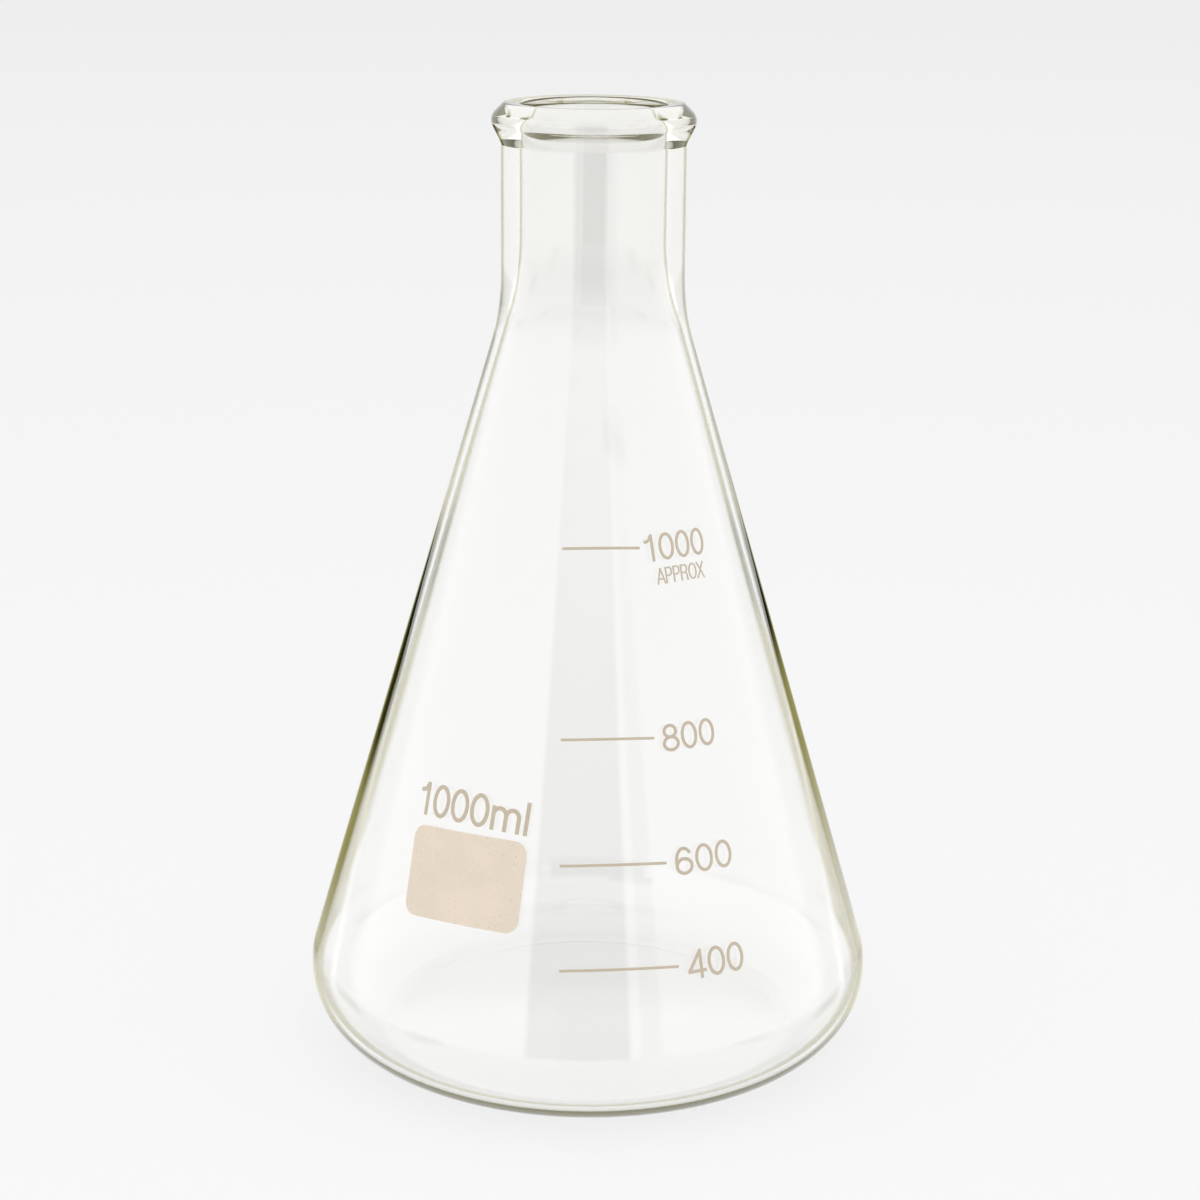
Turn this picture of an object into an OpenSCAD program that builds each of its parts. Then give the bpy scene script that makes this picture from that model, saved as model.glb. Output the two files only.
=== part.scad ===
// Conical laboratory flask, 1000 ml, narrow neck with a rolled bead.
//
// The vessel is one blown piece of borosilicate glass. Its section is drawn
// once, as a chain of arcs joined by the straight lines that touch them:
// heel, cone, shoulder, neck, bead, lip, and back down the inside.
// The printed enamel lies on the cone: four graduation lines and a
// marking spot. The numbers beside the lines are not part of this file.
//
// The flask stands on z = 0 with its axis on Z. The print faces -Y.

/* [Body] */
// Height from the bench to the top of the lip
total_h = 218; // [208:1:230]
// Largest diameter, just above the heel
body_d = 131; // [124:1:138]
// Radius of the rounded heel between base and cone
heel_r = 18; // [13:0.5:22]
// Height at which the shoulder has become the straight neck
shoulder_z = 179.8; // [170:0.2:190]
// Radius of the shoulder on the outside
shoulder_r = 50; // [30:1:70]

/* [Neck and bead] */
// Outer diameter of the neck
neck_d = 41; // [37:0.5:44]
// Largest diameter of the bead
bead_d = 45.2; // [44.6:0.1:50]
// Height of the bead from its lower edge to the lip
bead_h = 9.2; // [8.4:0.1:12]
// Depth of the bead's widest place below the lip
bead_drop = 5.3; // [4:0.1:6]
// Rounding of the bead at its widest place
bead_round = 1.4; // [0.8:0.1:1.7]
// Rounding where the neck turns out into the bead
bead_fillet = 1.2; // [0.6:0.1:1.5]
// Diameter of the circle along the top of the lip
lip_d = 40; // [39:0.1:41]
// Rounding of the lip
lip_round = 0.8; // [0.5:0.1:1.1]
// Rounding of the mouth from the lip down into the neck
mouth_round = 4.5; // [2.5:0.1:5]

/* [Glass] */
// Thickness of the glass in the cone
wall_t = 1.8; // [1.2:0.1:2.2]
// Thickness of the glass in the neck and shoulder
neck_t = 4.2; // [2.8:0.1:5]
// Height above which the glass of the cone thickens towards the neck
thicken_z = 130; // [110:1:140]
// Thickness of the glass in the base
base_t = 2.6; // [1.6:0.1:4]
// Radius of the heel on the inside
heel_inner_r = 15; // [11:0.5:17]
// Height by which the middle of the base is pushed up
base_rise = 1.9; // [0.4:0.1:4]
// Width of the flat ring round it, on which the flask stands
ring_w = 2.3; // [1:0.1:12]

/* [Graduation lines] */
// Width of a printed line, measured in height
line_w = 0.6; // [0.4:0.1:1.2]
// Distance by which the lines begin left of the front, along the glass
line_start = 6.2; // [2:0.1:14]
// Height of the 1000 ml line
line_1000_z = 125.7; // [112:0.1:140]
// Length of the 1000 ml line
line_1000_len = 16.9; // [10:0.1:30]
// Height of the 800 ml line
line_800_z = 86.2; // [76:0.1:100]
// Length of the 800 ml line
line_800_len = 20.4; // [10:0.1:36]
// Height of the 600 ml line
line_600_z = 60.2; // [52:0.1:72]
// Length of the 600 ml line
line_600_len = 23.3; // [10:0.1:40]
// Height of the 400 ml line
line_400_z = 38.6; // [34:0.1:48]
// Length of the 400 ml line
line_400_len = 26.2; // [10:0.1:44]

/* [Marking spot] */
// Width of the spot
spot_w = 29.2; // [16:0.1:36]
// Height of the spot along the slope of the cone
spot_h = 20; // [12:0.1:24]
// Rounding of the spot's corners
spot_corner = 3; // [1:0.1:6]
// Height of the middle of the spot above the bench
spot_z = 55; // [46:0.1:70]
// Turn of the spot from the front, clockwise from above
spot_turn = 30; // [26:1:60]

/* [Print] */
// Thickness of the printed enamel
film_t = 0.15; // [0.1:0.01:0.3]

/* [Hidden] */

glass_colour = [0.85, 0.9, 0.87, 0.4];
enamel_colour = [0.86, 0.81, 0.74];
// Depth to which a curve may be flattened between two of its points
flat = 0.04;
neck_r = neck_d / 2;
bore_r = neck_r - neck_t;

// Each arc is [radius of its centre, height of its centre, radius], with a
// minus before the last one where the glass is hollow instead of rounded.
heel = [body_d / 2 - heel_r, heel_r, heel_r];
shoulder = [neck_r + shoulder_r, shoulder_z, -shoulder_r];
under_bead = [neck_r + bead_fillet, total_h - bead_h, -bead_fillet];
bead = [bead_d / 2 - bead_round, total_h - bead_drop, bead_round];
lip = [lip_d / 2, total_h - lip_round, lip_round];
mouth = [bore_r + mouth_round, total_h - bead_drop, mouth_round];
inner_shoulder = [neck_r + shoulder_r, shoulder_z, shoulder_r + neck_t];
inner_heel = [
    body_d / 2 - wall_t - heel_inner_r,
    base_t + heel_inner_r,
    -heel_inner_r
];

// Direction square to the line that touches both arcs, glass on its left
function square_to(a, b) =
    let (across = b[0] - a[0], up = b[1] - a[1])
    atan2(up, across) - acos((a[2] - b[2]) / norm([across, up]));

// Point of an arc in a direction
function on_circle(c, turn) =
    [c[0] + c[2] * cos(turn), c[1] + c[2] * sin(turn)];

// A direction brought to within half a turn of another one
function near(turn, other) =
    turn - 360 * round((turn - other) / 360);

// Points of an arc from one direction to the other
function arc(c, from, to) =
    let (
        last = near(to, from),
        step = min(22, 2 * acos(1 - flat / abs(c[2]))),
        n = max(1, ceil(abs(last - from) / step))
    )
    [for (i = [0 : n]) on_circle(c, from + (last - from) * i / n)];

// Points of a shallow dome from its rim to its middle, both on one arc
function dome(rim_r, rim_z, rise) =
    let (
        big_r = (rim_r * rim_r + rise * rise) / (2 * rise),
        half = asin(rim_r / big_r),
        n = 5
    )
    [
        for (i = [0 : n])
        let (turn = half * (1 - i / n))
        [big_r * sin(turn), rim_z + rise - big_r * (1 - cos(turn))]
    ];

function reversed(points) =
    [for (i = [len(points) - 1 : -1 : 0]) points[i]];

// Radius where the pushed-up middle ends, below and inside
base_rise_r = heel[0] - ring_w;
inner_rise_r = min(base_rise_r, inner_heel[0]);

cone_turn = square_to(heel, shoulder);
bead_under_turn = square_to(under_bead, bead);
bead_over_turn = square_to(bead, lip);
mouth_turn = square_to(lip, mouth);
// The foot of the cone, where the cone line touches the heel
cone_foot = on_circle(heel, cone_turn);

// The inside of the cone, and where it would end if the glass stayed thin
thin_shoulder = [neck_r + shoulder_r, shoulder_z, shoulder_r + wall_t];
inner_cone_turn = square_to(thin_shoulder, inner_heel);
thin_end = on_circle(thin_shoulder, inner_cone_turn);
// Length of that line above thicken_z, and where it then starts to thicken
thicken_len = (thin_end[1] - thicken_z) / -cos(inner_cone_turn);
thicken_start = thin_end
    - thicken_len * [sin(inner_cone_turn), -cos(inner_cone_turn)];
// Largest radius of an arc that can lead from there into the shoulder's arc
thicken_max_r = (
    thicken_len * thicken_len / (neck_t - wall_t)
    - 2 * shoulder_r - wall_t - neck_t
) / 2;
thicken_r = 0.95 * thicken_max_r;
thicken = [
    thicken_start[0] + thicken_r * cos(inner_cone_turn),
    thicken_start[1] + thicken_r * sin(inner_cone_turn),
    -thicken_r
];
thicken_turn = square_to(inner_shoulder, thicken);

// Radius of the outside of the cone at a height
function cone_r(z) = cone_foot[0] - (z - cone_foot[1]) * tan(cone_turn);

module glass_section() {
    polygon(concat(
        reversed(dome(base_rise_r, 0, base_rise)),
        arc(heel, -90, cone_turn),
        arc(shoulder, cone_turn, 0),
        arc(under_bead, 0, bead_under_turn),
        arc(bead, bead_under_turn, bead_over_turn),
        arc(lip, bead_over_turn, mouth_turn),
        arc(mouth, mouth_turn, 180),
        arc(inner_shoulder, 180, thicken_turn),
        arc(thicken, thicken_turn, inner_cone_turn),
        arc(inner_heel, inner_cone_turn, 90),
        dome(inner_rise_r, base_t, base_rise)
    ));
}

// Section of the enamel between two heights, lying on the cone
module film_section(z0, z1) {
    out = film_t / cos(cone_turn);
    polygon([
        [cone_r(z0), z0],
        [cone_r(z0) + out, z0],
        [cone_r(z1) + out, z1],
        [cone_r(z1), z1]
    ]);
}

module graduation(z, length) {
    first = -line_start / cone_r(z) * 180 / PI;
    sweep = length / cone_r(z) * 180 / PI;
    color(enamel_colour)
    rotate([0, 0, first - 90])
    rotate_extrude(angle = sweep, $fn = 240)
    film_section(z - line_w / 2, z + line_w / 2);
}

// Outline of a rectangle with rounded corners, its middle at the origin
function rounded_outline(w, h, corner) =
    [
        for (quarter = [0 : 3], i = [0 : 6])
        let (
            right = quarter == 0 || quarter == 3 ? 1 : -1,
            upper = quarter < 2 ? 1 : -1,
            turn = 90 * quarter + 15 * i
        )
        [
            right * (w / 2 - corner) + corner * cos(turn),
            upper * (h / 2 - corner) + corner * sin(turn)
        ]
    ];

module flask() {
    color(glass_colour)
    rotate_extrude($fn = 72)
    glass_section();
}

module graduation_1000() {
    graduation(line_1000_z, line_1000_len);
}

module graduation_800() {
    graduation(line_800_z, line_800_len);
}

module graduation_600() {
    graduation(line_600_z, line_600_len);
}

module graduation_400() {
    graduation(line_400_z, line_400_len);
}

module marking_spot() {
    // Depth from the middle of the spot, more than the cone curves away
    reach = 12;
    color(enamel_colour)
    intersection() {
        rotate_extrude($fn = 240)
        film_section(spot_z - spot_h * 0.6, spot_z + spot_h * 0.6);
        rotate([0, 0, -spot_turn])
        translate([0, -cone_r(spot_z), spot_z])
        rotate([90 - cone_turn, 0, 0])
        translate([0, 0, -reach])
        linear_extrude(height = 2 * reach)
        polygon(rounded_outline(spot_w, spot_h, spot_corner));
    }
}

flask();
graduation_1000();
graduation_800();
graduation_600();
graduation_400();
marking_spot();
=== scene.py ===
"""A 1000 ml conical flask of borosilicate glass, dressed and set on a pale studio floor."""

import math

import bmesh
import bpy
from mathutils import Matrix, Vector
from mathutils.geometry import delaunay_2d_cdt


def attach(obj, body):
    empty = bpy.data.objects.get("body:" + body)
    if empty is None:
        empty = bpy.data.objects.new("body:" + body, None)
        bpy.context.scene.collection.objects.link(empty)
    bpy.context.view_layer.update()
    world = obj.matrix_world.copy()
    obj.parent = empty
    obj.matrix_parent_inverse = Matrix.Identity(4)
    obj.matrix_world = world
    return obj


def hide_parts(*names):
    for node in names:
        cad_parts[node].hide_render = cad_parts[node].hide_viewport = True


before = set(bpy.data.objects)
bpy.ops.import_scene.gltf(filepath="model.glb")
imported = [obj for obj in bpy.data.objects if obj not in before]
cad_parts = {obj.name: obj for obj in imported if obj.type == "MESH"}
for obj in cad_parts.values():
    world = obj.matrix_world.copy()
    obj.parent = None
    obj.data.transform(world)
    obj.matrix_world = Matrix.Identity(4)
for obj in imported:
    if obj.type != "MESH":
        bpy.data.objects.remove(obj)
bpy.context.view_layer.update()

bl_info = {
    "name": "Conical flask",
    "version": (1, 0, 0),
    "blender": (4, 5, 0),
    "location": "3D View > Sidebar > Flask",
    "description": "Builds a printed conical flask of borosilicate glass and its studio floor",
    "category": "Object",
}

MM = 0.001
# Points that are closer than this are one
TINY = 1e-8
# The same where a print is cut into strips, and, in millimetres, where pen strokes meet
CUT_NEAR = 1e-7
STROKE_NEAR = 1e-4
# Blender's number for keeping only the triangles that lie inside the outlines
INSIDE_ONLY = 1

# Depth of the middle of the mouth's rounding below the lip, in radii of that rounding
MOUTH_DEPTH = 1.1
# Parts of the vessel all round, and longest steps of its profile outside and inside
AROUND = 256
OUTSIDE_STEP = 6 * MM
INSIDE_STEP = 4 * MM
# Longest turn between two points of an arc of the profile, and of a letter in degrees
ARC_STEP = math.radians(10)
BEND_STEP = 7.5
# Waves of the blown inside: share, waves all round, turn per metre of height, and start
WAVES = ((0.6, 3, 25, 0), (0.4, 7, -60, 1.3))
# The waves fade out towards bead and base: where they end, and over what height
CALM_TOP = 12 * MM
CALM_BASE = 6 * MM
CALM_RUN = 20 * MM
# Width of the strips in which the print follows the cone
STRIP = 0.7 * MM

# Strength of the tint in the depth of the glass, per metre
TINT_DENSITY = 75.0
# A painted reflection: the olive, which stands in for the dark room seen in the glass edge on,
# comes in where the glass turns 72 to 79 degrees away from the eye. A border is 1 less the
# cosine of that turn.
EDGE_BORDERS = (0.7, 0.8)
DARK_BORDERS = (0.72, 0.79)
# Heights between which that edge is painted nearly black, as a darker painted reflection
DARK_HEIGHTS = (94 * MM, 106 * MM, 120 * MM, 130 * MM)
# Number of mirrorings inside the glass after which light counts as caught
CAUGHT_DEPTH = 4
# Pigment grains of about 0.2 mm are drawn a little coarse so that they show
GRAIN = 0.3125 * MM
# How strong a grain is that begins to show as a speck and that shows in full, and how much
SPECK_BORDERS = (0.62, 0.75)
SPECK_STRENGTH = 0.8
# Size of the clouds that the uneven thickness of the print makes
CLOUD = 7.69 * MM
# Brightness of thin print, of thick print and of specks, as shares of its colour
THIN_SHARE = 0.88
THICK_SHARE = 1.05
SPECK_SHARE = 0.55
ENAMEL_ROUGHNESS = 0.5
ENAMEL_IOR = 1.5

# Brightness of the paper before the flask and far away, of the soft boxes and of a post
NEAR_LEVEL = 1.0
FAR_LEVEL = 0.852
BOX_LEVEL = 1.4
POST_LEVEL = 0.8
# Share of the paper's brightness that the flask can shade
SHADED_SHARE = 0.16
# Middle of the painted pool of light on the paper, and the power of the distance by which it fades
PAINTED_POOL_MIDDLE = (0, -0.15, 0)
FADE_POWER = 0.3
# Distance in metres at which it has faded, and radius of the floor
FADE_END = 4.79
FLOOR_RADIUS = 30

# The room that reflections show: where its paper ends, where the wall behind the flask
# begins and where the dark corners begin downwards, in degrees above the horizon
PAPER_EDGE = (-10.6, -9.6)
WALL_EDGE = (-9.7, -8.7)
CORNER_EDGE = (-8.7, -9.3)
# Sides of the wall, as a share of straight behind, and its narrowing with each degree
WALL_SIDES = (0.35, 0.55)
WALL_NARROWING = -0.02
# Degrees by which a dark corner of the room rises outwards, and by which its side moves it
CORNER_RISE = 4.0
CORNER_LEAN = 1.35
# Dark corners: their height, and their width as the cosine of four times the turn
DUSK_BORDERS = ((-19, -14, -7.2, -6.2), (-0.72, -0.45, 0.35, 0.85))
ROOM_BORDERS = ((-13.7, -11.5, -7.7, -7.0), (-0.62, -0.3, 0.1, 0.7))
# The corners end where the front of the room begins
FRONT_EDGE = (-0.8, -0.6)
# Gap and post: degrees to the right of the front, and degrees above the horizon
GAP_BORDERS = ((-26, -23, 15, 18), (*PAPER_EDGE, 11, 27))
POST_BORDERS = ((20, 22, 28, 31), (*PAPER_EDGE, 12, 22))

# The photograph's camera: focal length in pixels, place in metres and turns in radians
PHOTO_SIDE = 1200
FOCAL_LENGTH = 2642.2
SENSOR_MM = 36.0
CAMERA_PLACE = (0, -0.5862, 0.2671)
PITCH = 0.269901
YAW = 0.003708
ROLL = 0.0081927

# Settings of the nodes that are used most
SOFT = {"interpolation_type": "SMOOTHSTEP"}
COLOUR = {"data_type": "RGBA"}
TIMES = {"operation": "MULTIPLY"}


# Sizes and colours


def length(name, description, default_mm):
    """A length in metres, given here in millimetres."""
    return bpy.props.FloatProperty(
        name=name,
        description=description,
        default=default_mm * MM,
        precision=5,
        unit="LENGTH",
    )


def hex_colour(name, description, default):
    """A colour as an sRGB hex value."""
    return bpy.props.StringProperty(name=name, description=description, default=default)


class FlaskGlassSizes(bpy.types.PropertyGroup):
    """Sizes of the blown glass, as in the CAD model but for bead, lip, mouth and inner shoulder"""

    total_h: length("Height", "Height from the bench to the top of the lip", 218)
    body_d: length("Body diameter", "Largest diameter, just above the heel", 131)
    heel_r: length("Heel radius", "Radius of the rounded heel", 18)
    shoulder_z: length("Shoulder height", "Height where the straight neck begins", 179.8)
    shoulder_r: length("Shoulder radius", "Radius of the shoulder outside", 50)
    neck_d: length("Neck diameter", "Outer diameter of the neck", 41)
    bead_d: length("Bead diameter", "Largest diameter of the bead", 45.2)
    bead_h: length("Bead height", "From its lower edge to the lip", 9.2)
    bead_drop: length("Bead drop", "Depth of its widest place below the lip", 4.0)
    bead_round: length("Bead rounding", "Rounding at its widest place", 3)
    bead_fillet: length("Bead fillet", "Rounding between neck and bead", 1.2)
    lip_d: length("Lip diameter", "Diameter of the circle along the lip", 39)
    lip_round: length("Lip rounding", "Rounding of the lip", 0.8)
    mouth_round: length("Mouth rounding", "Rounding from the lip into the neck", 1)
    wall_t: length("Wall", "Thickness of the glass in the cone", 1.8)
    neck_t: length("Neck wall", "Thickness of the glass in the neck", 4.2)
    bore_arc_r: length("Inner shoulder radius", "Radius of the shoulder inside", 50)
    base_t: length("Base thickness", "Thickness of the base", 2.6)
    heel_inner_r: length("Inner heel radius", "Radius of the heel inside", 15)
    base_rise: length("Base rise", "Height of the pushed-up middle", 1.9)
    ring_w: length("Standing ring", "Width of the flat ring under the flask", 2.3)
    waviness: length("Waviness", "Unevenness of the blown inside", 0.05)


class FlaskPrintSizes(bpy.types.PropertyGroup):
    """Sizes of the enamel print"""

    film_t: length("Enamel thickness", "Thickness that stands proud of the glass", 0.06)
    sink: length("Fused depth", "Depth to which the enamel is fused in", 0.02)
    line_w: length("Line width", "Width of a graduation line", 0.6)
    line_start: length("Line start", "Distance of the lines left of the front", 6.2)
    spot_w: length("Spot width", "Width of the marking spot", 29.2)
    spot_h: length("Spot height", "Height of the marking spot along the glass", 20)
    spot_corner: length("Spot corner", "Rounding of its corners", 3)
    spot_z: length("Spot place", "Height of its middle above the bench", 55)
    spot_turn: bpy.props.FloatProperty(
        name="Spot turn",
        description="Turn of the spot from the front",
        default=math.radians(30),
        unit="ROTATION",
    )
    spot_tilt: bpy.props.FloatProperty(
        name="Spot tilt",
        description="Turn of the spot about its own middle, by which it was printed askew",
        default=math.radians(1.5),
        unit="ROTATION",
    )


class FlaskFinish(bpy.types.PropertyGroup):
    """Colours and finish of glass, enamel and floor"""

    glass_hex: hex_colour("Glass", "Tint of the glass seen through its thickness", "#F3F2ED")
    # The glass edge colour is a painted reflection of the dark room, not a tint of the glass
    edge_reflection_hex: hex_colour("Glass edge", "Painted reflection where the glass is seen along its wall", "#948B4A")
    # The dark edge colour is a darker painted reflection of the dark room
    dark_reflection_hex: hex_colour("Dark edge", "Darker painted reflection on that edge halfway up the cone", "#2C2E08")
    field_hex: hex_colour("Enamel field", "Colour of the marking spot", "#ECDDCA")
    ink_hex: hex_colour("Enamel ink", "Colour of lines and numbers", "#CBBEA8")
    # A painted glow that shows light caught in the wall, lit though it is no lamp
    caught_glow_hex: hex_colour("Thick glass", "Colour of light that is caught in the wall", "#6C6830")
    dusk_hex: hex_colour("Dusk", "Colour around the dark corners of the room", "#ACA974")
    room_hex: hex_colour("Room", "Colour of the dark corners of the room", "#14180A")
    gap_hex: hex_colour("Gap", "Colour of the gap between the two soft boxes", "#20210A")
    glass_ior: bpy.props.FloatProperty(
        name="Glass IOR", description="Refractive index of the glass", default=1.473
    )


# The glass section


def square_to(a, b):
    """Direction square to the line that touches arcs a and b, with the glass on its left."""
    across, up = b[0] - a[0], b[1] - a[1]
    return math.atan2(up, across) - math.acos((a[2] - b[2]) / math.hypot(across, up))


def on_circle(c, turn):
    return (c[0] + c[2] * math.cos(turn), c[1] + c[2] * math.sin(turn))


def arc(c, start, end, flat=0.003 * MM):
    """Points of an arc that is flattened by no more than flat."""
    end -= 2 * math.pi * round((end - start) / (2 * math.pi))
    step = min(ARC_STEP, 2 * math.acos(1 - flat / abs(c[2])))
    n = max(1, math.ceil(abs(end - start) / step))
    return [on_circle(c, start + (end - start) * i / n) for i in range(n + 1)]


def dome(rim_r, rim_z, rise, n=24):
    """Points of a shallow dome from its rim to its middle."""
    big_r = (rim_r**2 + rise**2) / (2 * rise)
    half = math.asin(rim_r / big_r)
    turns = [half * (1 - i / n) for i in range(n + 1)]
    return [
        (big_r * math.sin(t), rim_z + rise - big_r * (1 - math.cos(t))) for t in turns
    ]


class Section:
    """The glass section as two lists of (radius, height): outside going up, inside going down."""

    def __init__(self, s):
        neck_r, bore_r = s.neck_d / 2, s.neck_d / 2 - s.neck_t
        heel = (s.body_d / 2 - s.heel_r, s.heel_r, s.heel_r)
        shoulder = (neck_r + s.shoulder_r, s.shoulder_z, -s.shoulder_r)
        under_bead = (neck_r + s.bead_fillet, s.total_h - s.bead_h, -s.bead_fillet)
        bead = (s.bead_d / 2 - s.bead_round, s.total_h - s.bead_drop, s.bead_round)
        lip = (s.lip_d / 2, s.total_h - s.lip_round, s.lip_round)
        mouth_z = s.total_h - MOUTH_DEPTH * s.mouth_round
        mouth = (bore_r + s.mouth_round, mouth_z, s.mouth_round)
        inner_heel = (
            s.body_d / 2 - s.wall_t - s.heel_inner_r,
            s.base_t + s.heel_inner_r,
            -s.heel_inner_r,
        )
        self.cone_turn = square_to(heel, shoulder)
        self.foot = on_circle(heel, self.cone_turn)
        rise_r = heel[0] - s.ring_w
        inner_rise_r = min(rise_r, inner_heel[0])
        bead_under, bead_over = square_to(under_bead, bead), square_to(bead, lip)
        mouth_turn = square_to(lip, mouth)
        # The inside of the cone, and where it would end if the glass stayed thin
        thin_shoulder = (neck_r + s.shoulder_r, s.shoulder_z, s.shoulder_r + s.wall_t)
        inner_turn = square_to(thin_shoulder, inner_heel)
        thin_end = on_circle(thin_shoulder, inner_turn)
        across, up = math.cos(inner_turn), math.sin(inner_turn)
        # The arc that leads from there into the narrower bore
        bore_arc = s.bore_arc_r
        over = (bore_arc + (bore_r + bore_arc - thin_end[0]) * across) / -up
        inner_shoulder = (bore_r + bore_arc, thin_end[1] + over, bore_arc)
        self.outside = (
            dome(rise_r, 0, s.base_rise)[::-1]
            + arc(heel, -math.pi / 2, self.cone_turn)
            + arc(shoulder, self.cone_turn, 0)
            + arc(under_bead, 0, bead_under)
            + arc(bead, bead_under, bead_over)
            + arc(lip, bead_over, mouth_turn)
        )
        self.inside = (
            arc(mouth, mouth_turn, math.pi)
            + arc(inner_shoulder, math.pi, inner_turn)
            + arc(inner_heel, inner_turn, math.pi / 2)
            + dome(inner_rise_r, s.base_t, s.base_rise)
        )

    def cone_r(self, z):
        """Radius of the outside of the cone at a height."""
        return self.foot[0] - (z - self.foot[1]) * math.tan(self.cone_turn)

    def middle_z(self, z, width):
        """Height of the middle of a straight decal of a width whose ends are at z."""
        slant = self.cone_r(z) / math.sin(self.cone_turn)
        rise = slant - math.sqrt(slant**2 - width**2 / 4)
        return z + rise * math.cos(self.cone_turn)


def with_steps(points, longest):
    """The same line with more points on its long straight stretches."""
    out = [points[0]]
    for a, b in zip(points, points[1:]):
        n = max(1, math.ceil(math.dist(a, b) / longest))
        if math.dist(a, b) < TINY:
            continue
        out += [
            (a[0] + (b[0] - a[0]) * i / n, a[1] + (b[1] - a[1]) * i / n)
            for i in range(1, n + 1)
        ]
    return out


# Small helpers


def keep(name, mesh, material, replaces=()):
    """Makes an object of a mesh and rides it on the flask."""
    piece = bpy.data.objects.new(name, mesh)
    bpy.context.scene.collection.objects.link(piece)
    mesh.materials.append(material)
    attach(piece, "root")
    if replaces:
        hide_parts(*replaces)
    return piece


def linear(hex_value):
    """Linear RGBA of an sRGB hex value."""
    parts = [int(hex_value[i : i + 2], 16) / 255 for i in (1, 3, 5)]
    return tuple(
        c / 12.92 if c <= 0.04045 else ((c + 0.055) / 1.055) ** 2.4 for c in parts
    ) + (1,)


def add(tree, kind, settings=None, inputs=None):
    """Adds a node with its settings; each input is a value, a node or a node's output."""
    node = tree.nodes.new(kind)
    for key, value in (settings or {}).items():
        setattr(node, key, value)
    for key, value in (inputs or {}).items():
        if isinstance(value, bpy.types.Node):
            value = next(output for output in value.outputs if output.enabled)
        if isinstance(value, bpy.types.NodeSocket):
            tree.links.new(value, node.inputs[key])
        else:
            node.inputs[key].default_value = value
    return node


def mask(tree, value, *borders):
    """Mask that rises softly between two borders and, if it has four, falls between the others."""
    low, high, *falling = borders
    rise = {"Value": value, "From Min": low, "From Max": high}
    risen = add(tree, "ShaderNodeMapRange", SOFT, rise)
    if not falling:
        return risen
    start, end = falling
    fall = {"Value": value, "From Min": end, "From Max": start}
    fallen = add(tree, "ShaderNodeMapRange", SOFT, fall)
    return add(tree, "ShaderNodeMath", TIMES, {0: risen, 1: fallen})


def mirrored(tree, times):
    """1 for light that has been mirrored so many times, on the glass or inside it, else 0."""
    depth = add(tree, "ShaderNodeLightPath").outputs["Glossy Depth"]
    return add(tree, "ShaderNodeMath", {"operation": "GREATER_THAN"}, {0: depth, 1: times - 0.5})


def grey(level):
    return (level, level, level, 1)


def dimmed(colour, share):
    """A share of a linear colour's brightness, or a little more than all of it."""
    return tuple(min(1, part * share) for part in colour[:3]) + (1,)


def blank_material(name):
    """An empty material, and its node tree."""
    material = bpy.data.materials.new(name)
    material.use_nodes = True
    material.node_tree.nodes.clear()
    return material, material.node_tree


# Materials


def blown_borosilicate(finish):
    """Blown, fire polished borosilicate glass: clear, with olive lines of painted reflection where
    it is seen edge on.
    """
    material, tree = blank_material("blown_borosilicate_glass")
    # 0 where the glass faces the eye, and 1 where it is seen along its surface
    away = add(tree, "ShaderNodeLayerWeight", inputs={"Blend": 0.5}).outputs["Facing"]
    place = add(tree, "ShaderNodeTexCoord").outputs["Object"]
    height = add(tree, "ShaderNodeSeparateXYZ", inputs={0: place}).outputs["Z"]
    # Halfway up the cone the painted reflection on the edge is nearly black
    halfway = mask(tree, height, *DARK_HEIGHTS)
    dark = add(tree, "ShaderNodeMath", TIMES, {0: halfway, 1: mask(tree, away, *DARK_BORDERS)})
    olive = mask(tree, away, *EDGE_BORDERS)
    # The base colour carries the painted reflection on the edges, white elsewhere
    tint = (1, 1, 1, 1)
    for amount, colour in ((olive, finish.edge_reflection_hex), (dark, finish.dark_reflection_hex)):
        tint = add(tree, "ShaderNodeMix", COLOUR, {"Factor": amount, "A": tint, "B": linear(colour)})
    shader = add(
        tree,
        "ShaderNodeBsdfPrincipled",
        inputs={
            "Base Color": tint,
            "Roughness": 0.0,
            "IOR": finish.glass_ior,
            "Transmission Weight": 1.0,
        },
    )
    depth = add(
        tree,
        "ShaderNodeVolumeAbsorption",
        inputs={"Color": linear(finish.glass_hex), "Density": TINT_DENSITY},
    )
    # Painted glow: light that stays caught in the wall is shown as an emission in the olive of thick
    # glass
    thick = add(tree, "ShaderNodeEmission", inputs={"Color": linear(finish.caught_glow_hex)})
    caught = mirrored(tree, CAUGHT_DEPTH)
    surface = add(tree, "ShaderNodeMixShader", inputs={0: caught, 1: shader, 2: thick})
    add(tree, "ShaderNodeOutputMaterial", inputs={"Surface": surface, "Volume": depth})
    return material


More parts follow.
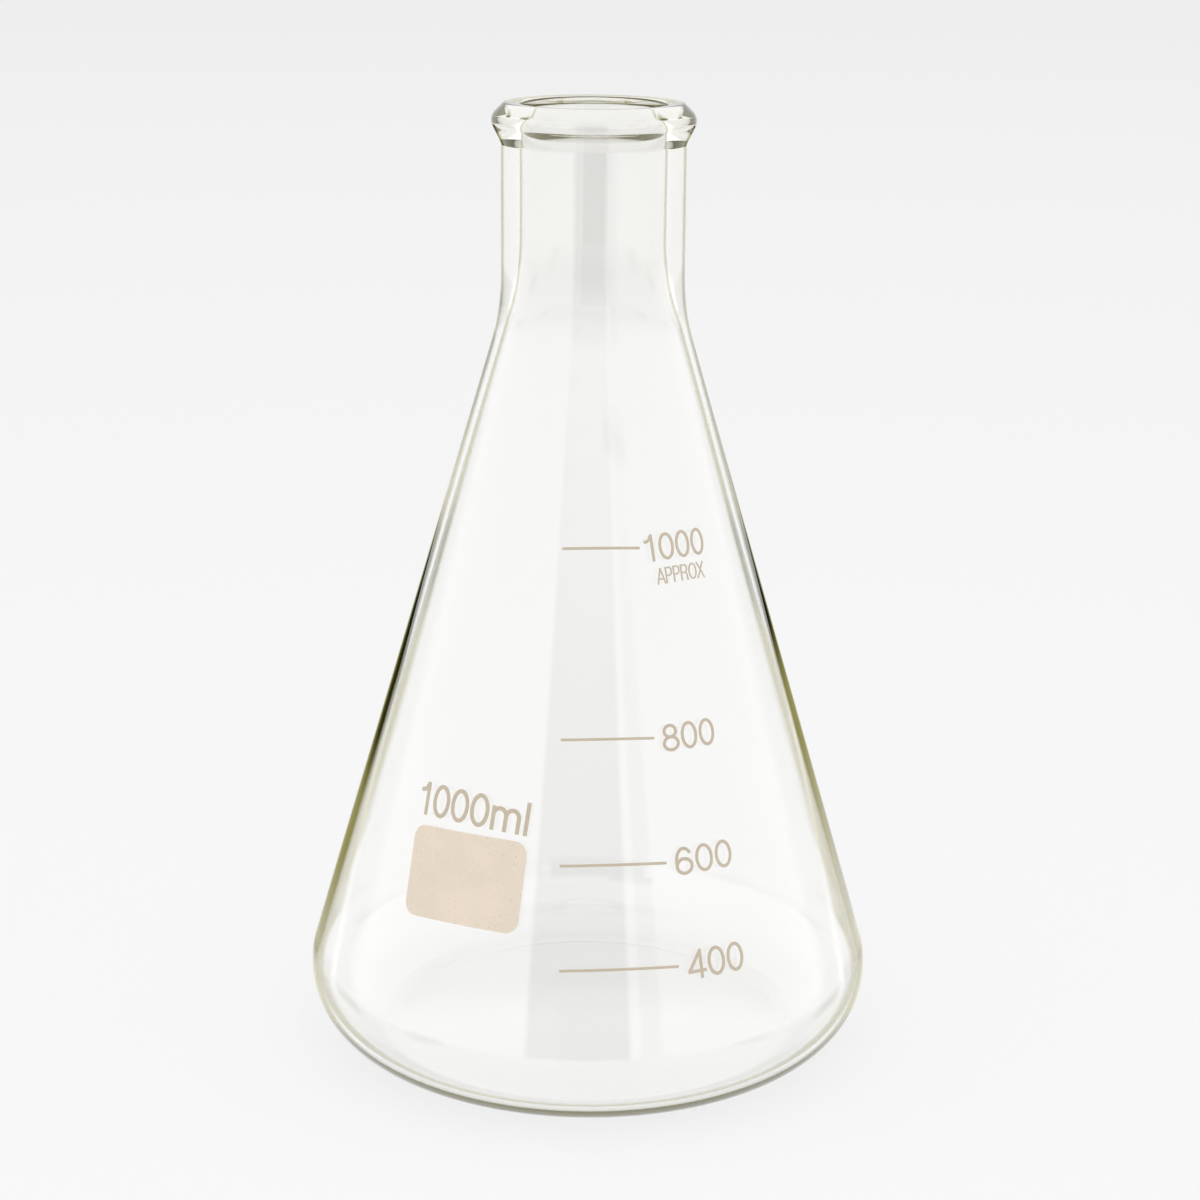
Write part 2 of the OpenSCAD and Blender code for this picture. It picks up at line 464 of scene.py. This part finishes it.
def fired_enamel(name, hex_value):
    """Screen-printed glass enamel, fired on: satin, with fine specks and faint mottling."""
    material, tree = blank_material(name)
    plain = linear(hex_value)
    place = add(tree, "ShaderNodeTexCoord").outputs["Object"]
    grain, cloud = (
        add(
            tree,
            "ShaderNodeTexNoise",
            inputs={"Vector": place, "Scale": 1 / size, "Detail": detail},
        )
        for size, detail in ((GRAIN, 2.0), (CLOUD, 3.0))
    )
    faint, strong = SPECK_BORDERS
    specks = add(
        tree,
        "ShaderNodeMapRange",
        inputs={"Value": grain, "From Min": faint, "From Max": strong, "To Max": SPECK_STRENGTH},
    )
    mottled = add(
        tree,
        "ShaderNodeMix",
        COLOUR,
        {"Factor": cloud, "A": dimmed(plain, THIN_SHARE), "B": dimmed(plain, THICK_SHARE)},
    )
    colour = add(
        tree,
        "ShaderNodeMix",
        COLOUR,
        {"Factor": specks, "A": mottled, "B": dimmed(plain, SPECK_SHARE)},
    )
    shader = add(
        tree,
        "ShaderNodeBsdfPrincipled",
        inputs={"Base Color": colour, "Roughness": ENAMEL_ROUGHNESS, "IOR": ENAMEL_IOR},
    )
    add(tree, "ShaderNodeOutputMaterial", inputs={"Surface": shader})
    return material


# Print on the cone


def outline_mesh(points):
    """A flat face from one closed outline that runs anticlockwise, in metres."""
    flat = bmesh.new()
    flat.faces.new([flat.verts.new((u, v, 0)) for u, v in points])
    return flat


def rounded_outline(w, h, corner, steps=10):
    """Outline of a rectangle with rounded corners, its middle at the origin."""
    out = []
    for quarter in range(4):
        right = 1 if quarter in (0, 3) else -1
        upper = 1 if quarter < 2 else -1
        for i in range(steps + 1):
            turn = math.pi / 2 * (quarter + i / steps)
            across = right * (w / 2 - corner) + corner * math.cos(turn)
            along = upper * (h / 2 - corner) + corner * math.sin(turn)
            out.append((across, along))
    return out


def bend(x, y, rx, ry, start, end):
    """Points of a part of an oval, its turns in degrees."""
    n = max(2, math.ceil(abs(end - start) / BEND_STEP))
    turns = [math.radians(start + (end - start) * i / n) for i in range(n + 1)]
    return [(x + rx * math.cos(t), y + ry * math.sin(t)) for t in turns]


def ring(x, y, rx, ry):
    """A closed oval: its last point is its first."""
    return bend(x, y, rx, ry, 0, 360)


# Advance and centre lines of each character, in heights of a capital
LETTERS = {
    "0": (0.777, [ring(0.388, 0.5, 0.288, 0.443)]),
    "1": (
        0.777,
        [
            [(0.53, 0.0), (0.53, 1.0)],
            [(0.20, 0.735), (0.34, 0.755), (0.44, 0.815), (0.50, 0.94)],
        ],
    ),
    "4": (
        0.777,
        [
            [(0.55, 0.0), (0.55, 1.0)],
            [(0.545, 0.93), (0.075, 0.265)],
            [(0.04, 0.265), (0.74, 0.265)],
        ],
    ),
    "6": (
        0.777,
        [
            ring(0.39, 0.315, 0.275, 0.258),
            bend(0.40, 0.5, 0.285, 0.443, 34, 180) + [(0.115, 0.315)],
        ],
    ),
    "8": (0.777, [ring(0.388, 0.735, 0.235, 0.208), ring(0.388, 0.292, 0.285, 0.235)]),
    "A": (
        0.93,
        [
            [(0.04, 0.0), (0.465, 0.97)],
            [(0.89, 0.0), (0.465, 0.97)],
            [(0.17, 0.31), (0.76, 0.31)],
        ],
    ),
    "P": (
        0.88,
        [
            [(0.13, 0.0), (0.13, 1.0)],
            [(0.13, 0.943), (0.50, 0.943)]
            + bend(0.50, 0.71, 0.26, 0.233, 90, -90)
            + [(0.13, 0.477)],
        ],
    ),
    "R": (
        1.0,
        [
            [(0.13, 0.0), (0.13, 1.0)],
            [(0.13, 0.943), (0.56, 0.943)]
            + bend(0.56, 0.72, 0.26, 0.223, 90, -90)
            + [(0.13, 0.497)],
            [(0.56, 0.497), (0.74, 0.43), (0.79, 0.28), (0.85, 0.0)],
        ],
    ),
    "O": (1.07, [ring(0.535, 0.5, 0.43, 0.45)]),
    "X": (0.98, [[(0.05, 0.0), (0.91, 1.0)], [(0.07, 1.0), (0.93, 0.0)]]),
    "m": (
        1.163,
        [
            [(0.13, 0.0), (0.13, 0.73)],
            bend(0.3575, 0.45, 0.2275, 0.225, 180, 0) + [(0.585, 0.0)],
            bend(0.8125, 0.45, 0.2275, 0.225, 180, 0) + [(1.04, 0.0)],
        ],
    ),
    "l": (0.31, [[(0.155, 0.0), (0.155, 1.0)]]),
}


def stroke_quads(path, pen):
    """Quads, each four points, that give a centre line the width of the pen."""
    closed = math.dist(path[0], path[-1]) < TINY
    last = len(path) - 1
    sides = []
    for i, (x, y) in enumerate(path):
        before = path[i - 1] if i else path[last - 1 if closed else 0]
        after = path[i + 1] if i < last else path[1 if closed else last]
        ways = [
            Vector((b[0] - a[0], b[1] - a[1])).normalized()
            for a, b in ((before, (x, y)), ((x, y), after))
            if math.dist(a, b) > TINY
        ]
        way = sum(ways, Vector((0, 0))).normalized()
        # A sharp corner reaches out by no more than a whole pen
        reach = pen / 2 / max(0.5, way.dot(ways[0]))
        across, along = way.x * reach, way.y * reach
        sides.append(((x - along, y + across), (x + along, y - across)))
    return [(a[0], a[1], b[1], b[0]) for a, b in zip(sides, sides[1:])]


def lettering_mesh(words, width, height, pen):
    """A flat mesh of words that fill a width and a height, in metres, from their middle."""
    paths = []
    at = 0
    for letter in words:
        advance, lines = LETTERS[letter]
        paths += [[(at + x, y) for x, y in line] for line in lines]
        at += advance
    left = min(x for path in paths for x, _ in path)
    right = max(x for path in paths for x, _ in path)
    wide = (width - pen) / (right - left) / MM
    tall = height / MM
    points, quads = [], []
    for path in paths:
        real = [((x - (left + right) / 2) * wide, y * tall) for x, y in path]
        for quad in stroke_quads(real, pen / MM):
            quads.append([len(points) + i for i in range(4)])
            points += [Vector(corner) for corner in quad]
    joined = delaunay_2d_cdt(points, [], quads, INSIDE_ONLY, STROKE_NEAR)
    verts, _, faces, _, _, covers = joined
    flat = bmesh.new()
    made = [flat.verts.new((v.x * MM, v.y * MM, 0)) for v in verts]
    for face, cover in zip(faces, covers):
        if cover:
            flat.faces.new([made[i] for i in face])
    loose = [v for v in flat.verts if not v.link_faces]
    bmesh.ops.delete(flat, geom=loose, context="VERTS")
    return flat


def sliced(flat, step):
    """Cuts a flat mesh into strips, so that it can follow the cone."""
    us = [v.co.x for v in flat.verts]
    cuts = range(math.ceil(min(us) / step), math.ceil(max(us) / step))
    for cut in cuts:
        bmesh.ops.bisect_plane(
            flat,
            geom=flat.verts[:] + flat.edges[:] + flat.faces[:],
            dist=CUT_NEAR,
            plane_co=(cut * step, 0, 0),
            plane_no=(1, 0, 0),
        )
    return flat


def printed(name, flat, section, sizes, turn, z, material, replaces=()):
    """Lays a flat mesh on the cone, as a decal is laid, and makes it a fused film of enamel.

    The mesh's x runs to the right from the decal's middle and its y up the slope, in
    metres. turn, from the front to the right, and z say where that middle lies.
    """
    sliced(flat, STRIP)
    lean = section.cone_turn
    top_z = z + section.cone_r(z) / math.tan(lean)
    slant = section.cone_r(z) / math.sin(lean)

    def place(v, out):
        along = math.hypot(v.co.x, slant - v.co.y)
        phi = turn + math.atan2(v.co.x, slant - v.co.y) / math.sin(lean)
        r = along * math.sin(lean) + out * math.cos(lean)
        height = top_z - along * math.cos(lean) + out * math.sin(lean)
        return Vector((r * math.sin(phi), -r * math.cos(phi), height))

    made = bmesh.new()
    flat.verts.index_update()
    top = [made.verts.new(place(v, sizes.film_t)) for v in flat.verts]
    low = [made.verts.new(place(v, -sizes.sink)) for v in flat.verts]
    for face in flat.faces:
        order = [v.index for v in face.verts]
        made.faces.new([top[i] for i in order])
        made.faces.new([low[i] for i in reversed(order)])
        for loop in face.loops:
            if loop.edge.is_boundary:
                a, b = loop.vert.index, loop.link_loop_next.vert.index
                made.faces.new([low[a], low[b], top[b], top[a]])
    mesh = bpy.data.meshes.new(name)
    made.to_mesh(mesh)
    made.free()
    flat.free()
    return keep(name, mesh, material, replaces)


# Operators


def blown_wave(phi, z, total_h):
    """Unevenness of the blown inside at a place, from -1 to 1; at bead and base it is 0."""
    wave = sum(
        share * math.sin(waves * phi + rise * z + start) for share, waves, rise, start in WAVES
    )
    under_bead = min(1, max(0, (total_h - CALM_TOP - z) / CALM_RUN))
    over_base = min(1, max(0, (z - CALM_BASE) / CALM_RUN))
    return wave * under_bead * over_base


def turned_rings(made, profile, total_h, depth):
    """Rings of points that a profile describes as it turns; depth is that of its waves."""
    rings = []
    for r, z in profile:
        if r < TINY:
            rings.append([made.verts.new((0, 0, z))])
            continue
        points = []
        for k in range(AROUND):
            phi = 2 * math.pi * k / AROUND
            reach = r + depth * blown_wave(phi, z, total_h)
            points.append(made.verts.new((reach * math.sin(phi), -reach * math.cos(phi), z)))
        rings.append(points)
    return rings


def join_rings(made, low, high):
    """Faces between two neighbouring rings, either of which may be a single point."""
    if len(low) == len(high) == 1:
        return
    for k in range(AROUND):
        n = (k + 1) % AROUND
        if len(low) == 1:
            corners = (low[0], high[n], high[k])
        elif len(high) == 1:
            corners = (low[k], low[n], high[0])
        else:
            corners = (low[k], low[n], high[n], high[k])
        made.faces.new(corners)


class FLASK_OT_blow(bpy.types.Operator):
    """Turn the vessel of blown glass from its section"""

    bl_idname = "flask.blow"
    bl_label = "Blow the vessel"

    def execute(self, context):
        sizes = context.scene.flask_glass
        section = Section(sizes)
        outside = with_steps(section.outside, OUTSIDE_STEP)
        inside = with_steps(section.inside, INSIDE_STEP)
        made = bmesh.new()
        rings = turned_rings(made, outside, sizes.total_h, 0)
        rings += turned_rings(made, inside, sizes.total_h, sizes.waviness)
        for low, high in zip(rings, rings[1:]):
            join_rings(made, low, high)
        bmesh.ops.remove_doubles(made, verts=made.verts, dist=TINY)
        bmesh.ops.recalc_face_normals(made, faces=made.faces)
        mesh = bpy.data.meshes.new("flask_glass")
        made.to_mesh(mesh)
        made.free()
        mesh.shade_smooth()
        keep(
            "flask_glass",
            mesh,
            blown_borosilicate(context.scene.flask_finish),
            ["flask"],
        )
        return {"FINISHED"}


# Number of each graduation line, and its height and length in millimetres
LINES = (
    ("1000", 125.7, 16.9),
    ("800", 86.2, 20.4),
    ("600", 60.2, 23.3),
    ("400", 38.6, 26.2),
)
# Words: their left end and width along the glass, foot, height and pen, in millimetres
WORDS = (
    ("number_1000", "1000", 11.5, 15.8, 122.5, 6.0, 0.68),
    ("word_approx", "APPROX", 14.6, 12.7, 117.75, 3.6, 0.36),
    ("number_800", "800", 16.0, 13.0, 83.0, 6.0, 0.70),
    ("number_600", "600", 19.1, 14.1, 57.2, 6.1, 0.72),
    ("number_400", "400", 21.7, 14.3, 35.4, 6.4, 0.74),
    ("volume_1000ml", "1000ml", -41.9, 28.9, 65.8, 7.3, 0.93),
)


class FLASK_OT_print_lines(bpy.types.Operator):
    """Print the graduation lines"""

    bl_idname = "flask.print_lines"
    bl_label = "Print the lines"

    def execute(self, context):
        sizes = context.scene.flask_print
        section = Section(context.scene.flask_glass)
        ink = fired_enamel("fired_enamel_ink", context.scene.flask_finish.ink_hex)
        for number, z, span in LINES:
            middle = (span / 2 * MM - sizes.line_start) / section.cone_r(z * MM)
            w, h = span / 2 * MM, sizes.line_w / 2
            flat = outline_mesh([(-w, -h), (w, -h), (w, h), (-w, h)])
            printed(
                f"line_{number}",
                flat,
                section,
                sizes,
                middle,
                section.middle_z(z * MM, span * MM),
                ink,
                [f"graduation_{number}"],
            )
        return {"FINISHED"}


class FLASK_OT_print_numbers(bpy.types.Operator):
    """Print the volumes beside the lines and over the marking spot"""

    bl_idname = "flask.print_numbers"
    bl_label = "Print the numbers"

    def execute(self, context):
        sizes = context.scene.flask_print
        section = Section(context.scene.flask_glass)
        ink = bpy.data.materials["fired_enamel_ink"]
        for name, words, left, width, foot, height, pen in WORDS:
            flat = lettering_mesh(words, width * MM, height * MM, pen * MM)
            turn = (left + width / 2) * MM / section.cone_r((foot + height / 2) * MM)
            z = section.middle_z(foot * MM, width * MM)
            printed(name, flat, section, sizes, turn, z, ink)
        return {"FINISHED"}


class FLASK_OT_print_spot(bpy.types.Operator):
    """Print the marking spot"""

    bl_idname = "flask.print_spot"
    bl_label = "Print the marking spot"

    def execute(self, context):
        sizes = context.scene.flask_print
        section = Section(context.scene.flask_glass)
        field = fired_enamel("fired_enamel_field", context.scene.flask_finish.field_hex)
        corners = rounded_outline(sizes.spot_w, sizes.spot_h, sizes.spot_corner)
        across, up = math.cos(sizes.spot_tilt), math.sin(sizes.spot_tilt)
        flat = outline_mesh([(u * across - v * up, u * up + v * across) for u, v in corners])
        printed(
            "marking_spot_enamel",
            flat,
            section,
            sizes,
            -sizes.spot_turn,
            sizes.spot_z,
            field,
            ["marking_spot"],
        )
        return {"FINISHED"}


# Stage


def paper_floor():
    """White paper that glows in a painted pool of light, and takes a faint shadow from its diffuse
    share.
    """
    material, tree = blank_material("white_paper")
    place = add(tree, "ShaderNodeTexCoord").outputs["Object"]
    # The paper's glow is brightest before the flask and fades outwards: a painted pool of light
    apart = add(
        tree, "ShaderNodeVectorMath", {"operation": "DISTANCE"}, {0: place, 1: PAINTED_POOL_MIDDLE}
    )
    fading = add(tree, "ShaderNodeMath", {"operation": "POWER"}, {0: apart, 1: FADE_POWER})
    level = add(
        tree,
        "ShaderNodeMapRange",
        inputs={
            "Value": fading,
            "From Max": FADE_END**FADE_POWER,
            "To Min": NEAR_LEVEL - SHADED_SHARE,
            "To Max": FAR_LEVEL - SHADED_SHARE,
        },
    )
    glow = add(tree, "ShaderNodeEmission", inputs={"Color": level})
    matt = add(tree, "ShaderNodeBsdfDiffuse", inputs={"Color": grey(SHADED_SHARE)})
    paper = add(tree, "ShaderNodeAddShader", inputs={0: glow, 1: matt})
    # Reflections see the studio's own paper below the horizon instead
    clear = add(tree, "ShaderNodeBsdfTransparent")
    shown = add(tree, "ShaderNodeMixShader", inputs={0: mirrored(tree, 1), 1: paper, 2: clear})
    add(tree, "ShaderNodeOutputMaterial", inputs={"Surface": shown})
    return material


def studio_world(finish):
    """Even light, a pale backdrop, and for reflections two soft boxes in a dark room."""
    world = bpy.data.worlds.new("studio_light")
    world.use_nodes = True
    tree = world.node_tree
    tree.nodes.clear()
    way = add(tree, "ShaderNodeTexCoord").outputs["Generated"]
    x, y, z = add(tree, "ShaderNodeSeparateXYZ", inputs={0: way}).outputs
    # Degrees to the right of the front, and degrees above the horizon
    front = add(tree, "ShaderNodeMath", TIMES, {0: y, 1: -1.0})
    turn = add(tree, "ShaderNodeMath", {"operation": "ARCTAN2"}, {0: x, 1: front})
    around = add(tree, "ShaderNodeMath", {"operation": "DEGREES"}, {0: turn})
    lift = add(tree, "ShaderNodeMath", {"operation": "ARCSINE"}, {0: z})
    height = add(tree, "ShaderNodeMath", {"operation": "DEGREES"}, {0: lift})

    def over(shown, colour, *masks):
        """The colours shown so far, with one more where all of its masks are 1."""
        amount = masks[0]
        for more in masks[1:]:
            amount = add(tree, "ShaderNodeMath", TIMES, {0: amount, 1: more})
        return add(tree, "ShaderNodeMix", COLOUR, {"Factor": amount, "A": shown, "B": colour})

    # Reflections show paper below, soft boxes above, and a pale wall behind the flask
    shown = over(grey(NEAR_LEVEL), grey(BOX_LEVEL), mask(tree, height, *PAPER_EDGE))
    narrowed = add(
        tree,
        "ShaderNodeMath",
        {"operation": "MULTIPLY_ADD"},
        {0: height, 1: WALL_NARROWING, 2: y},
    )
    wall_sides, wall_foot = mask(tree, narrowed, *WALL_SIDES), mask(tree, height, *WALL_EDGE)
    shown = over(shown, grey(NEAR_LEVEL), wall_sides, wall_foot)
    # A dark corner of the room lies every 45 degrees, but not before the flask. Behind it
    # they rise outwards, and the left one lies lower than the right one. The cosine of four
    # times the turn is 0 in the middle of each corner.
    four = add(tree, "ShaderNodeMath", TIMES, {0: turn, 1: 4.0})
    near = add(tree, "ShaderNodeMath", {"operation": "COSINE"}, {0: four})
    left = add(tree, "ShaderNodeMath", {"operation": "SINE"}, {0: four})
    leaning = height
    for share, amount in ((near, CORNER_RISE), (left, CORNER_LEAN)):
        leaning = add(
            tree,
            "ShaderNodeMath",
            {"operation": "MULTIPLY_ADD"},
            {0: share, 1: amount, 2: leaning},
        )
    behind, low = mask(tree, y, *FRONT_EDGE), mask(tree, height, *CORNER_EDGE)
    for hex_value, (upright, across) in (
        (finish.dusk_hex, DUSK_BORDERS),
        (finish.room_hex, ROOM_BORDERS),
    ):
        corner = mask(tree, leaning, *upright), mask(tree, near, *across)
        shown = over(shown, linear(hex_value), *corner, behind, low)
    # The gap between the two soft boxes before the flask, and a post in the right one
    for colour, (across, upright) in (
        (linear(finish.gap_hex), GAP_BORDERS),
        (grey(POST_LEVEL), POST_BORDERS),
    ):
        shown = over(shown, colour, mask(tree, around, *across), mask(tree, height, *upright))
    # What is seen through the glass, and not by a reflection, is the pale backdrop
    backdrop = over(grey(FAR_LEVEL), shown, mirrored(tree, 1))
    path = add(tree, "ShaderNodeLightPath").outputs
    even = over(grey(1.0), grey(FAR_LEVEL), path["Is Camera Ray"])
    by_glass = add(
        tree,
        "ShaderNodeMath",
        {"operation": "ADD"},
        {0: path["Is Glossy Ray"], 1: path["Is Transmission Ray"]},
    )
    plain, glassy = (
        add(tree, "ShaderNodeBackground", inputs={"Color": colour, "Strength": 1.0})
        for colour in (even, backdrop)
    )
    light = add(tree, "ShaderNodeMixShader", inputs={0: by_glass, 1: plain, 2: glassy})
    add(tree, "ShaderNodeOutputWorld", inputs={"Surface": light})
    return world


def studio_floor():
    """A wide round sheet of paper in the plane of the bench."""
    mesh = bpy.data.meshes.new("studio_floor")
    made = bmesh.new()
    bmesh.ops.create_circle(made, cap_ends=True, segments=96, radius=FLOOR_RADIUS)
    made.to_mesh(mesh)
    made.free()
    mesh.materials.append(paper_floor())
    return bpy.data.objects.new("studio_floor", mesh)


def photo_camera():
    """A camera that stands and looks as the photograph's did."""
    data = bpy.data.cameras.new("photo_camera")
    data.sensor_width = SENSOR_MM
    data.lens = FOCAL_LENGTH / PHOTO_SIDE * SENSOR_MM
    data.clip_start = 0.01
    data.clip_end = 100
    level = math.cos(PITCH)
    forward = Vector((math.sin(YAW) * level, math.cos(YAW) * level, -math.sin(PITCH)))
    right = Vector((math.cos(YAW), -math.sin(YAW), 0))
    down = forward.cross(right)
    across = right * math.cos(ROLL) - down * math.sin(ROLL)
    below = right * math.sin(ROLL) + down * math.cos(ROLL)
    turn = Matrix((across, -below, -forward)).transposed()
    camera = bpy.data.objects.new("photo_camera", data)
    camera.matrix_world = Matrix.Translation(CAMERA_PLACE) @ turn.to_4x4()
    return camera


class FLASK_OT_stage(bpy.types.Operator):
    """Set the pale floor, the light and the camera"""

    bl_idname = "flask.stage"
    bl_label = "Set the stage"

    def execute(self, context):
        scene = context.scene
        floor = studio_floor()
        camera = photo_camera()
        for thing in (floor, camera):
            scene.collection.objects.link(thing)
        scene.camera = camera
        scene.world = studio_world(scene.flask_finish)
        scene.view_settings.view_transform = "Standard"
        return {"FINISHED"}


class FLASK_PT_panel(bpy.types.Panel):
    """Steps that build the flask, in order"""

    bl_idname = "FLASK_PT_panel"
    bl_label = "Conical flask"
    bl_space_type = "VIEW_3D"
    bl_region_type = "UI"
    bl_category = "Flask"

    def draw(self, context):
        for step in STEPS:
            self.layout.operator(step.bl_idname)


STEPS = (
    FLASK_OT_blow,
    FLASK_OT_print_lines,
    FLASK_OT_print_numbers,
    FLASK_OT_print_spot,
    FLASK_OT_stage,
)
GROUPS = {
    "flask_glass": FlaskGlassSizes,
    "flask_print": FlaskPrintSizes,
    "flask_finish": FlaskFinish,
}


def register():
    for cls in (*GROUPS.values(), *STEPS, FLASK_PT_panel):
        bpy.utils.register_class(cls)
    for name, group in GROUPS.items():
        setattr(bpy.types.Scene, name, bpy.props.PointerProperty(type=group))


def unregister():
    for name in GROUPS:
        delattr(bpy.types.Scene, name)
    for cls in reversed((*GROUPS.values(), *STEPS, FLASK_PT_panel)):
        bpy.utils.unregister_class(cls)


def main():
    register()
    for step in STEPS:
        group, _, name = step.bl_idname.partition(".")
        getattr(getattr(bpy.ops, group), name)()


if __name__ == "__main__":
    main()
